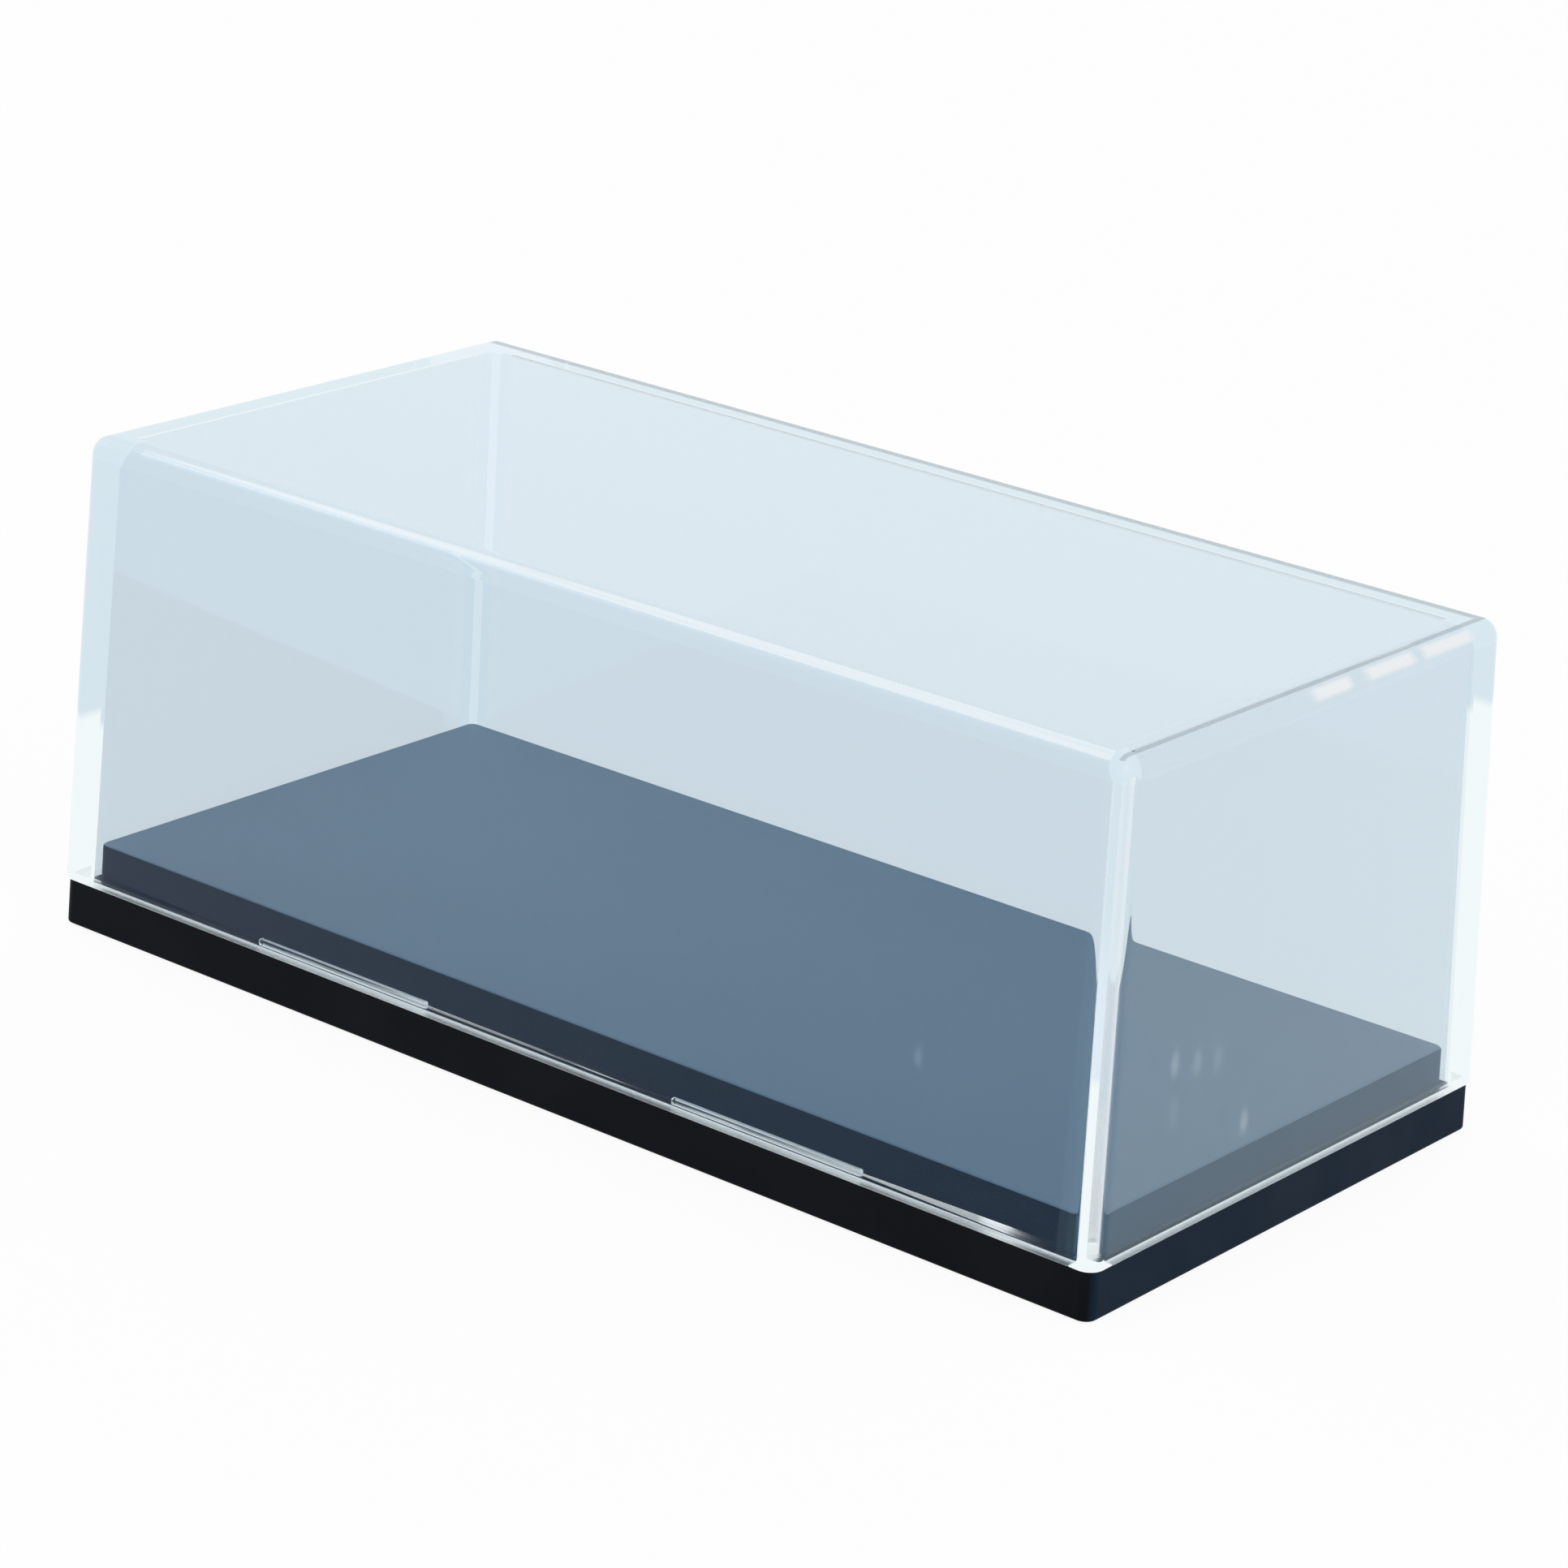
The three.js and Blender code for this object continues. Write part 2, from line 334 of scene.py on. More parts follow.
lug_tree, lug_in = new_tree(
    "grip_lugs",
    {
        "Pitch": "NodeSocketFloat",
        "Between Walls": "NodeSocketFloat",
        "Height": "NodeSocketFloat",
        "Material": "NodeSocketMaterial",
    },
)
grid = add_node(
    lug_tree,
    "GeometryNodeMeshGrid",
    {"Size X": lug_in["Pitch"], "Size Y": lug_in["Between Walls"], "Vertices X": 2, "Vertices Y": 2},
).outputs[0]
lift = add_node(lug_tree, "ShaderNodeCombineXYZ", {"Z": lug_in["Height"]}).outputs[0]
raised = add_node(lug_tree, "GeometryNodeSetPosition", {"Geometry": grid, "Offset": lift}).outputs[0]
place = add_node(lug_tree, "GeometryNodeInputPosition").outputs[0]
side = add_node(lug_tree, "ShaderNodeSeparateXYZ", {0: place}).outputs["Y"]
tip = maths(lug_tree, "MULTIPLY", maths(lug_tree, "SIGN", side), math.pi / 2)
turn = add_node(lug_tree, "ShaderNodeCombineXYZ", {"X": tip}).outputs[0]
copies = add_node(
    lug_tree,
    "GeometryNodeInstanceOnPoints",
    {"Points": raised, "Instance": lug_in["Geometry"], "Rotation": turn},
).outputs[0]
end_tree(lug_tree, copies, lug_in["Material"])
print("one lug:", len(lug.data.polygons), "faces, and a tree of", len(lug_tree.nodes), "nodes")

# %% Four lugs as a plain mesh
lug.data = grown(
    lug,
    lug_tree,
    {
        "Pitch": LUG_PITCH,
        "Between Walls": 2 * inside["half_width"],
        "Height": cover_foot + LUG_FOOT_GAP + LUG_HEIGHT / 2,
        "Material": clear_plastic,
    },
)
print("lugs:", len(lug.data.polygons), "faces in all")

# %% [markdown]
# ## One moulding, one surface
#
# The lugs are part of the cover's own plastic. If they only stood in it as separate shells, light would bend at
# faces that aren't there on the real cover. An exact boolean makes them one skin with the wall.

# %% Join the lugs to the cover
SAME_PLACE = 0.0001 * MM
SHARP_FROM = math.radians(25)


def finished(mesh):
    """Cuts many-sided faces into clean triangles, and shades all but the sharp edges smooth."""
    shape = bmesh.new()
    shape.from_mesh(mesh)
    bmesh.ops.dissolve_degenerate(shape, dist=SAME_PLACE, edges=shape.edges)
    many_sided = [face for face in shape.faces if len(face.verts) > 4]
    bmesh.ops.triangulate(shape, faces=many_sided, ngon_method="EAR_CLIP")
    shape.to_mesh(mesh)
    shape.free()
    mesh.shade_smooth()
    mesh.set_sharp_from_angle(angle=SHARP_FROM)


def join_into(piece, part, self_crossing=False):
    """Makes a part one skin with the piece, and removes the part's own object."""
    modifier = piece.modifiers.new("join", "BOOLEAN")
    modifier.operation, modifier.solver = "UNION", "EXACT"
    modifier.object, modifier.use_self = part, self_crossing
    modifier.material_mode = "INDEX"
    piece.data = applied(piece)
    bpy.data.objects.remove(part)
    finished(piece.data)


join_into(cover, lug)
cover.data.materials.clear()
cover.data.materials.append(clear_plastic)
print("cover:", len(cover.data.polygons), "faces")

# %% [markdown]
# ## The black base
#
# The base is one moulding too: the tray's ceiling, its walls, the rim with softened edges, the flat ledge, and
# the platform with a small round on its top edge. It could be cut from a block with booleans, but each cut would
# need its own draft. Here the rings start inside the hollow and end on the platform, so the walls get their draft
# and their thickness from the sweep itself.

# %% Base shell
RIM_CORNER, RIM_EDGE = 1.5 * MM, 0.3 * MM
PLATFORM_CORNER, PLATFORM_EDGE = 1.2 * MM, 0.4 * MM
BASE_WALL, PLATFORM_FLOOR = 1.8 * MM, 2 * MM
rim = wall(base_high.x, base_high.y, RIM_CORNER, BASE_DRAFT, 0.0)
platform = wall(platform_half.x, platform_half.y, PLATFORM_CORNER, BASE_DRAFT, ledge_height)
under_ledge = ledge_height - BASE_WALL
tray_ceiling = platform_height - PLATFORM_FLOOR
hollow = [
    at_height(platform, tray_ceiling, -BASE_WALL),
    at_height(platform, under_ledge, -BASE_WALL),
    at_height(rim, under_ledge, -BASE_WALL),
    at_height(rim, 0.0, -BASE_WALL),
]
rim_rings = foot_round(rim, RIM_EDGE) + top_round(rim, ledge_height, RIM_EDGE)
platform_rings = [at_height(platform, ledge_height)] + top_round(platform, platform_height, PLATFORM_EDGE)
base = sweep("base_moulding", hollow + rim_rings + platform_rings)
print("base shell:", len(base.data.polygons), "faces")

# %% [markdown]
# ## Ribs and ejector bosses under the platform
#
# Underneath, thin ribs stiffen the platform, and a small round boss stands at each crossing for the ejector pins
# of the mould. They follow a rule, which is what Geometry Nodes is good at: two rows of points carry the ribs,
# and a grid with the same spacing carries the bosses. Change a count and the pattern spreads itself again.

# %% One rib, a metre long, to be scaled by the tree
RIB_ROOT, RIB_TIP, RIB_DEPTH, RIB_SINK = 1.4 * MM, 1.0 * MM, 3.0 * MM, 0.6 * MM
section = [(-RIB_TIP / 2, -RIB_DEPTH), (RIB_TIP / 2, -RIB_DEPTH), (RIB_ROOT / 2, 0.0), (RIB_ROOT / 2, RIB_SINK)]
section += [(-RIB_ROOT / 2, RIB_SINK), (-RIB_ROOT / 2, 0.0)]
rib_shape = bmesh.new()
rib_ends = [[rib_shape.verts.new((x, y, z)) for y, z in section] for x in (-0.5, 0.5)]
for here in range(len(section)):
    there = (here + 1) % len(section)
    near, far = rib_ends
    rib_shape.faces.new((near[here], far[here], far[there], near[there]))
rib_shape.faces.new(rib_ends[0])
rib_shape.faces.new(list(reversed(rib_ends[1])))
bmesh.ops.recalc_face_normals(rib_shape, faces=rib_shape.faces)
ribs = new_piece("tray_ribs", rib_shape)
print("one rib:", len(ribs.data.polygons), "faces")

# %% The tree that spreads ribs and bosses
rib_tree, rib_in = new_tree(
    "tray_ribs",
    {
        "Length": "NodeSocketFloat",
        "Width": "NodeSocketFloat",
        "Height": "NodeSocketFloat",
        "Cross Ribs": "NodeSocketInt",
        "Long Ribs": "NodeSocketInt",
        "Sink": "NodeSocketFloat",
        "Boss Radius": "NodeSocketFloat",
        "Boss Tip": "NodeSocketFloat",
        "Boss Depth": "NodeSocketFloat",
        "Material": "NodeSocketMaterial",
    },
)


def reach_of_row(span, count):
    """How far from the middle the last of the evenly spaced ribs stands."""
    gaps = maths(rib_tree, "DIVIDE", maths(rib_tree, "SUBTRACT", count, 1), maths(rib_tree, "ADD", count, 1))
    return maths(rib_tree, "MULTIPLY", maths(rib_tree, "MULTIPLY", span, 0.5), gaps)


def vector(x=0.0, y=0.0, z=0.0):
    """Three numbers as one vector."""
    return add_node(rib_tree, "ShaderNodeCombineXYZ", {"X": x, "Y": y, "Z": z}).outputs[0]


def row(end_x, end_y, count):
    """A row of points from one end to the opposite one."""
    start = vector(maths(rib_tree, "MULTIPLY", end_x, -1), maths(rib_tree, "MULTIPLY", end_y, -1), rib_in["Height"])
    end = vector(end_x, end_y, rib_in["Height"])
    inputs = {"Count": count, "Start Location": start, "Offset": end}
    return add_node(rib_tree, "GeometryNodeMeshLine", inputs, mode="END_POINTS").outputs[0]


def ribs_on(points, length, angle):
    """A rib on each point, as long as the well is wide there and a little into its walls."""
    reach = maths(rib_tree, "ADD", length, maths(rib_tree, "MULTIPLY", rib_in["Sink"], 2))
    inputs = {"Points": points, "Instance": rib_in["Geometry"], "Rotation": vector(z=angle)}
    inputs["Scale"] = vector(reach, 1.0, 1.0)
    return add_node(rib_tree, "GeometryNodeInstanceOnPoints", inputs).outputs[0]


print("inputs of the rib tree:", [socket.name for socket in rib_in if socket.name])

# %% Rows of ribs, and a boss at each crossing
BOSS_SIDES = 48
row_x = reach_of_row(rib_in["Length"], rib_in["Cross Ribs"])
row_y = reach_of_row(rib_in["Width"], rib_in["Long Ribs"])
cross_ribs = ribs_on(row(row_x, 0.0, rib_in["Cross Ribs"]), rib_in["Width"], math.pi / 2)
long_ribs = ribs_on(row(0.0, row_y, rib_in["Long Ribs"]), rib_in["Length"], 0.0)
crossings = add_node(
    rib_tree,
    "GeometryNodeMeshGrid",
    {
        "Size X": maths(rib_tree, "MULTIPLY", row_x, 2),
        "Size Y": maths(rib_tree, "MULTIPLY", row_y, 2),
        "Vertices X": rib_in["Cross Ribs"],
        "Vertices Y": rib_in["Long Ribs"],
    },
).outputs[0]
boss_depth = maths(rib_tree, "ADD", rib_in["Boss Depth"], rib_in["Sink"])
boss = add_node(
    rib_tree,
    "GeometryNodeMeshCone",
    {
        "Vertices": BOSS_SIDES,
        "Radius Top": rib_in["Boss Radius"],
        "Radius Bottom": rib_in["Boss Tip"],
        "Depth": boss_depth,
    },
).outputs[0]
boss_foot = vector(z=maths(rib_tree, "SUBTRACT", rib_in["Height"], rib_in["Boss Depth"]))
boss_points = add_node(rib_tree, "GeometryNodeSetPosition", {"Geometry": crossings, "Offset": boss_foot}).outputs[0]
bosses = add_node(rib_tree, "GeometryNodeInstanceOnPoints", {"Points": boss_points, "Instance": boss}).outputs[0]
pattern = add_node(rib_tree, "GeometryNodeJoinGeometry")
for part in (cross_ribs, long_ribs, bosses):
    rib_tree.links.new(part, pattern.inputs[0])
end_tree(rib_tree, pattern.outputs[0], rib_in["Material"])
print("rib tree:", len(rib_tree.nodes), "nodes")

# %% The pattern as a plain mesh, made one with the base
CROSS_RIBS, LONG_RIBS = 5, 2
BOSS_RADIUS, BOSS_TIP = 2.6 * MM, 2.4 * MM
well_lean = (tray_ceiling - ledge_height) * math.tan(BASE_DRAFT)
ribs.data = grown(
    ribs,
    rib_tree,
    {
        "Length": 2 * (platform_half.x - BASE_WALL - well_lean),
        "Width": 2 * (platform_half.y - BASE_WALL - well_lean),
        "Height": tray_ceiling,
        "Cross Ribs": CROSS_RIBS,
        "Long Ribs": LONG_RIBS,
        "Sink": RIB_SINK,
        "Boss Radius": BOSS_RADIUS,
        "Boss Tip": BOSS_TIP,
        "Boss Depth": RIB_DEPTH,
        "Material": black_plastic,
    },
)
print("ribs and bosses:", len(ribs.data.polygons), "faces")
join_into(base, ribs, self_crossing=True)
print("base:", len(base.data.polygons), "faces")

# %% [markdown]
# ## Two finishes on one base
#
# The rim and the platform's sides are plain black. The platform's top, which carries the model car, is finer and
# mirrors the bright room at a low angle. The top could be an object of its own, but it would need a seam that the
# real base doesn't have. So all faces share one mesh, and only their material index differs.

# %% Which faces carry which finish
FACING_UP = 0.7
base.data.materials.clear()
base.data.materials.append(black_plastic)
base.data.materials.append(platform_satin_and_reflection)
top_edge = platform_height - 0.5 * PLATFORM_EDGE
for face in base.data.polygons:
    face.material_index = int(face.center.z > top_edge and face.normal.z > FACING_UP)
print("faces with the platform's finish:", sum(face.material_index for face in base.data.polygons))

# %% [markdown]
# ## Clear plastic
#
# A clear moulding bends light, mirrors it and takes a little of its colour at each crossing, so a faint blue tint
# on the shader grows with every wall in the way. The roof is thinner than the walls, so its tint is weaker. Mirror
# images in the walls are dimmed by the specular tint, because the real room is only partly white. A glass shader
# could do the bending, but the Principled shader holds colour, bending and roughness in one node.
#
# The tree reads where a point lies from its Object coordinates. A few helpers keep it short: a smooth rise
# between two values, a blend of two colours, a product of several numbers and one shader laid over another.

# %% Colours of the clear plastic
TINT = (0.778, 0.847, 0.893, 1.0)
ROOF_TINT = (0.813, 0.888, 0.936, 1.0)
MIRROR_TINT = (0.07, 0.20, 0.42, 1.0)
END_MIRROR_TINT = (0.30, 0.60, 0.85, 1.0)
END_WALLS_FROM = 70.5 * MM
JUST_UNDER = 0.1 * MM
CLEAR_IOR = 1.55
print("two crossings of a wall leave", [round(channel, 2) for channel in TINT[:3]], "of the light")

# %% Helpers for materials


def ramp(tree, value, start, end, low=0.0, high=1.0):
    """A smooth rise from low at start to high at end."""
    rise = add_node(tree, "ShaderNodeMapRange", {"Value": value}, interpolation_type="SMOOTHSTEP", clamp=True)
    for name, number in {"From Min": start, "From Max": end, "To Min": low, "To Max": high}.items():
        rise.inputs[name].default_value = number
    return rise.outputs["Result"]


def blend(tree, factor, low, high):
    """A colour between two others."""
    mixed = add_node(tree, "ShaderNodeMix", {"Factor": factor}, data_type="RGBA")
    for name, colour in (("A", low), ("B", high)):
        if isinstance(colour, tuple):
            mixed.inputs[name].default_value = colour
        else:
            tree.links.new(colour, mixed.inputs[name])
    return mixed.outputs["Result"]


def product(tree, *numbers):
    """All the numbers multiplied."""
    result = numbers[0]
    for number in numbers[1:]:
        result = maths(tree, "MULTIPLY", result, number)
    return result


def laid_over(tree, factor, under, over):
    """One shader over another, as far as the factor says."""
    return add_node(tree, "ShaderNodeMixShader", {0: factor, 1: under, 2: over}).outputs[0]


def noise(tree, place, scale, detail):
    """A soft random pattern. The detail says how many finer ones lie on top of it."""
    return add_node(tree, "ShaderNodeTexNoise", {"Vector": place, "Scale": scale, "Detail": detail}).outputs[0]


print("helpers for materials: ramp, blend, product, laid_over and noise")

# %% Where a point of the cover is
clear = clear_plastic.node_tree
clear.nodes.clear()
position = add_node(clear, "ShaderNodeTexCoord").outputs["Object"]
where = add_node(clear, "ShaderNodeSeparateXYZ", {0: position}).outputs
out_x = maths(clear, "ABSOLUTE", where["X"])
out_y = maths(clear, "ABSOLUTE", where["Y"])
in_end_wall = maths(clear, "GREATER_THAN", out_x, END_WALLS_FROM)
in_roof = maths(clear, "GREATER_THAN", where["Z"], case_height - ROOF - JUST_UNDER)
print("the roof's tint starts", round((case_height - ROOF - JUST_UNDER) / MM, 1), "mm up")

# %% [markdown]
# ## Wear, painted highlights and painted shade on the cover
#
# A clean surface looks false. A cover that is lifted by hand gets hair-fine scuffs in patches, a few faint smears
# of dust and a dull foot where it is set down. Pale patches, three on the roof's right edge and a little at each top
# corner, are painted highlights, and a thin dark line along the roof's right and back edges is painted shade. All of
# it could be painted in an image, but then the cover would have to be unwrapped. Here all of it is told from the
# place on the cover, so it also stays there when the cover moves.

# %% Hair-fine scuffs
HAIR_TURN, HAIR_SCALE, PATCH_SCALE = (0.0, 0.35, 0.2), (40.0, 2600.0, 2600.0), 60.0
HAIRS, PATCHES, SCUFF_ROUGHNESS = (0.66, 0.74), (0.55, 0.7), 0.05
DULL_FOOT, FOOT_ROUGHNESS = (ledge_height + 1.2 * MM, ledge_height + 0.7 * MM), 0.25
turned = add_node(clear, "ShaderNodeMapping", {"Vector": position, "Rotation": HAIR_TURN, "Scale": HAIR_SCALE})
hairs = noise(clear, turned.outputs[0], scale=1.0, detail=2.0)
patches = noise(clear, position, PATCH_SCALE, detail=3.0)
scuffs = product(clear, ramp(clear, hairs, *HAIRS), ramp(clear, patches, *PATCHES))
foot_wear = ramp(clear, where["Z"], *DULL_FOOT, 0.0, FOOT_ROUGHNESS)
wall_roughness = maths(clear, "MAXIMUM", maths(clear, "MULTIPLY", scuffs, SCUFF_ROUGHNESS), foot_wear)
print("roughness: up to", SCUFF_ROUGHNESS, "in the scuffs and", FOOT_ROUGHNESS, "at the foot")

# %% Specks and small smears of dust
# Each has its wall, its place along the wall, height and radius in millimetres, and its strength.
SPECKS = (
    ("end", -23.7, 25.0, 1.2, 0.20),
    ("end", -19.6, 24.0, 1.3, 0.14),
    ("end", -15.9, 23.4, 1.3, 0.10),
    ("end", -10.3, 14.7, 1.2, 0.24),
    ("end", -23.5, 19.5, 1.3, 0.07),
    ("front", 51.2, 22.0, 0.9, 0.11),
)
TALLER = 2.0


def distance_to(point, centre):
    """How far a point is from a centre that is given in metres."""
    return add_node(clear, "ShaderNodeVectorMath", {0: point, 1: centre}, operation="DISTANCE").outputs["Value"]


def on_wall(side, along, height):
    """A place on the outer face of the right end wall or of the front wall, in metres."""
    lean = (height * MM - cover_foot) * math.tan(COVER_DRAFT)
    if side == "end":
        return Vector((cover_half.x - lean, along * MM, height * MM))
    return Vector((along * MM, lean - cover_half.y, height * MM))


squat = Vector((1.0, 1.0, 1.0 / TALLER))
squat_position = add_node(clear, "ShaderNodeVectorMath", {0: position, 1: squat}, operation="MULTIPLY").outputs[0]
dust = 0.0
for side, along, height, radius, strength in SPECKS:
    away = distance_to(squat_position, on_wall(side, along, height) * squat)
    dust = maths(clear, "MAXIMUM", dust, ramp(clear, away, radius * MM, 0.0, 0.0, strength))
print("specks and smears of dust:", len(SPECKS))

# %% Painted highlights on the roof's right edge and at the top corners
# Pale matt patches on the roof's right edge and at each top corner are painted highlights, where light glints in the
# clear plastic.
EDGE_HIGHLIGHTS, HIGHLIGHT_ENDS, HIGHLIGHT_STRENGTH = ((-1.5, 5.3), (8.5, 17.3), (19.2, 28.5)), 1.0, 0.9
HIGHLIGHT_X, HIGHLIGHT_Z = (72.1 * MM, 72.7 * MM), (58.0 * MM, 58.7 * MM)
CORNER_HIGHLIGHT, CORNER_HIGHLIGHT_STRENGTH = (2.5 * MM, 0.3 * MM), 0.3
folded = add_node(clear, "ShaderNodeCombineXYZ", {"X": out_x, "Y": out_y, "Z": where["Z"]}).outputs[0]
top_corner = (cover_half.x - OUTER_CORNER, cover_half.y - OUTER_CORNER, case_height)
painted_highlights = ramp(clear, distance_to(folded, top_corner), *CORNER_HIGHLIGHT, 0.0, CORNER_HIGHLIGHT_STRENGTH)
highlight_edge = product(clear, ramp(clear, where["X"], *HIGHLIGHT_X), ramp(clear, where["Z"], *HIGHLIGHT_Z))
for start, end in EDGE_HIGHLIGHTS:
    here = product(
        clear,
        highlight_edge,
        ramp(clear, where["Y"], (start - HIGHLIGHT_ENDS) * MM, (start + HIGHLIGHT_ENDS) * MM),
        ramp(clear, where["Y"], (end + HIGHLIGHT_ENDS) * MM, (end - HIGHLIGHT_ENDS) * MM, 0.0, HIGHLIGHT_STRENGTH),
    )
    painted_highlights = maths(clear, "MAXIMUM", painted_highlights, here)
print("rubbed places on the edge:", len(EDGE_HIGHLIGHTS))

# %% Lines of painted shade along the roof's edges
# A thin dark line along the roof's right and back edges is painted shade.
EDGE_SHADE_STRENGTH, EDGE_SHADE_Z = 0.45, (59.2 * MM, 59.3 * MM)
END_LINE_FROM, END_LINE_TO = (71.3 * MM, 71.5 * MM), (72.1 * MM, 71.9 * MM)
BACK_LINE_FROM, BACK_LINE_ENDS = (31.2 * MM, 31.7 * MM), (71.9 * MM, 71.1 * MM)
near_top = ramp(clear, where["Z"], *EDGE_SHADE_Z)
shade_line_end = product(clear, ramp(clear, where["X"], *END_LINE_FROM), ramp(clear, where["X"], *END_LINE_TO), near_top)
shade_line_back = product(clear, ramp(clear, where["Y"], *BACK_LINE_FROM), ramp(clear, out_x, *BACK_LINE_ENDS), near_top)
painted_edge_shade = maths(clear, "MULTIPLY", maths(clear, "MAXIMUM", shade_line_end, shade_line_back), EDGE_SHADE_STRENGTH)
print("grime hides up to", EDGE_SHADE_STRENGTH, "of the plastic under it")

# %% The plastic itself, with its wear, painted highlights and painted shade
DUST_COLOUR, HIGHLIGHT_COLOUR, EDGE_SHADE_COLOUR = (0.80, 0.92, 0.98), (0.96, 0.98, 1.0), (0.30, 0.33, 0.37)
DULL_SHINE = 0.2
plastic = add_node(
    clear,
    "ShaderNodeBsdfPrincipled",
    {
        "Base Color": blend(clear, in_roof, TINT, ROOF_TINT),
        "Transmission Weight": 1.0,
        "IOR": CLEAR_IOR,
        "Specular Tint": blend(clear, in_end_wall, MIRROR_TINT, END_MIRROR_TINT),
        "Roughness": wall_roughness,
    },
).outputs[0]


def dull(colour, roughness):
    """A matt shader for dust on the plastic, and for its painted highlights and painted shade."""
    values = {"Base Color": (*colour, 1.0), "Roughness": roughness, "Specular IOR Level": DULL_SHINE}
    return add_node(clear, "ShaderNodeBsdfPrincipled", values).outputs[0]


wear_and_painted_light = laid_over(clear, dust, plastic, dull(DUST_COLOUR, roughness=0.9))
wear_and_painted_light = laid_over(clear, painted_highlights, wear_and_painted_light, dull(HIGHLIGHT_COLOUR, roughness=0.8))
wear_and_painted_light = laid_over(clear, painted_edge_shade, wear_and_painted_light, dull(EDGE_SHADE_COLOUR, roughness=0.9))
print("plastic and wear:", len(clear.nodes), "nodes so far")

# %% [markdown]
# ## Light caught in the plastic
#
# The upright corners of a thick clear box work like posts that gather light from all round, so they show as
# bright strips. Following such rays through dozens of mirrors is slow and full of noise. Instead, a ray that
# reaches a post inside the plastic, or is mirrored or bent many times, is told what it would find in the end:
# white where the light comes up from the foot, and pale blue higher up. The heights are the ones of the strips in
# the photograph. Light Path tells how many turns a ray has made.
#
# A lamp's light can't be followed through bent plastic at all. Rays that look for a lamp pass through a tinted
# transparent stand-in and light the base below.

# %% Corner posts
POST_WIDTH, POST_DEPTH = WALL + 0.9 * MM, WALL + 0.6 * MM
NEAREST_NARROWER, WIDER_AT_ROOF, NEAR_ROOF = 0.8 * MM, 1.2 * MM, (56.2 * MM, 57.7 * MM)
RIGHT_FROM, FRONT_FROM = (44 * MM, 48 * MM), (4 * MM, -4 * MM)
path = add_node(clear, "ShaderNodeLightPath").outputs
leaning = product(clear, maths(clear, "SUBTRACT", where["Z"], cover_foot), math.tan(COVER_DRAFT))
from_end = maths(clear, "SUBTRACT", cover_half.x, maths(clear, "ADD", out_x, leaning))
from_side = maths(clear, "SUBTRACT", cover_half.y, maths(clear, "ADD", out_y, leaning))
right_end = ramp(clear, where["X"], *RIGHT_FROM)
front_half = ramp(clear, where["Y"], *FRONT_FROM)
the_rest = maths(clear, "SUBTRACT", 1.0, right_end)
back_half = maths(clear, "SUBTRACT", 1.0, front_half)
wider = ramp(clear, where["Z"], *NEAR_ROOF, 0.0, WIDER_AT_ROOF)
narrower = product(clear, right_end, front_half, NEAREST_NARROWER)
post_width = maths(clear, "SUBTRACT", maths(clear, "ADD", wider, POST_WIDTH), narrower)
post_depth = maths(clear, "ADD", wider, POST_DEPTH)
in_corner = product(
    clear,
    maths(clear, "LESS_THAN", from_end, post_width),
    maths(clear, "LESS_THAN", from_side, post_depth),
)
print("a post is about", round(POST_WIDTH / MM, 1), "by", round(POST_DEPTH / MM, 1), "mm")

# %% The first mirror beside a post
SKIN, ALONG_END, ALONG_SIDE, FADE = 0.3 * MM, 10.5 * MM, 12.5 * MM, 2.0 * MM
FIRST_TURN_ONLY = 1.5
first_mirror = product(
    clear,
    maths(clear, "LESS_THAN", maths(clear, "MINIMUM", from_end, from_side), SKIN),
    ramp(clear, from_end, ALONG_END, ALONG_END - FADE),
    ramp(clear, from_side, ALONG_SIDE, ALONG_SIDE - FADE),
    maths(clear, "LESS_THAN", path["Ray Depth"], FIRST_TURN_ONLY),
)
in_post = maths(clear, "MAXIMUM", in_corner, first_mirror)
print("a first mirror counts up to", round(ALONG_SIDE / MM, 1), "mm from the corner")

# %% What caught light looks like
PALE, BRIGHT = (0.74, 0.84, 0.89, 1.0), (0.83, 0.91, 0.97, 1.0)
WHITE, FAR = (0.99, 1.02, 1.01, 1.0), (0.83, 0.905, 0.945, 1.0)
WHITE_UP_TO, WHITE_EDGE, HIGHER_BACK_RIGHT = 25 * MM, 0.8 * MM, 24.5 * MM
TRAVEL, BRIGHT_BELOW = 5.5 * MM, (46 * MM, 30 * MM)
higher = product(clear, right_end, back_half, in_post, HIGHER_BACK_RIGHT)
travel = product(clear, maths(clear, "SUBTRACT", 1.0, in_post), TRAVEL)
seen_height = maths(clear, "ADD", where["Z"], travel)
over_white = maths(clear, "SUBTRACT", seen_height, maths(clear, "ADD", higher, WHITE_UP_TO))
bright = product(clear, right_end, front_half, ramp(clear, where["Z"], *BRIGHT_BELOW))
caught_colour = blend(clear, bright, PALE, BRIGHT)
caught_colour = blend(clear, ramp(clear, over_white, WHITE_EDGE, -WHITE_EDGE), caught_colour, WHITE)
caught_colour = blend(clear, product(clear, in_post, back_half, the_rest), caught_colour, FAR)
glow = add_node(clear, "ShaderNodeEmission", {"Color": caught_colour, "Strength": 1.0}).outputs[0]
print("caught light is white up to", round(WHITE_UP_TO / MM), "mm, and higher at the back right corner")

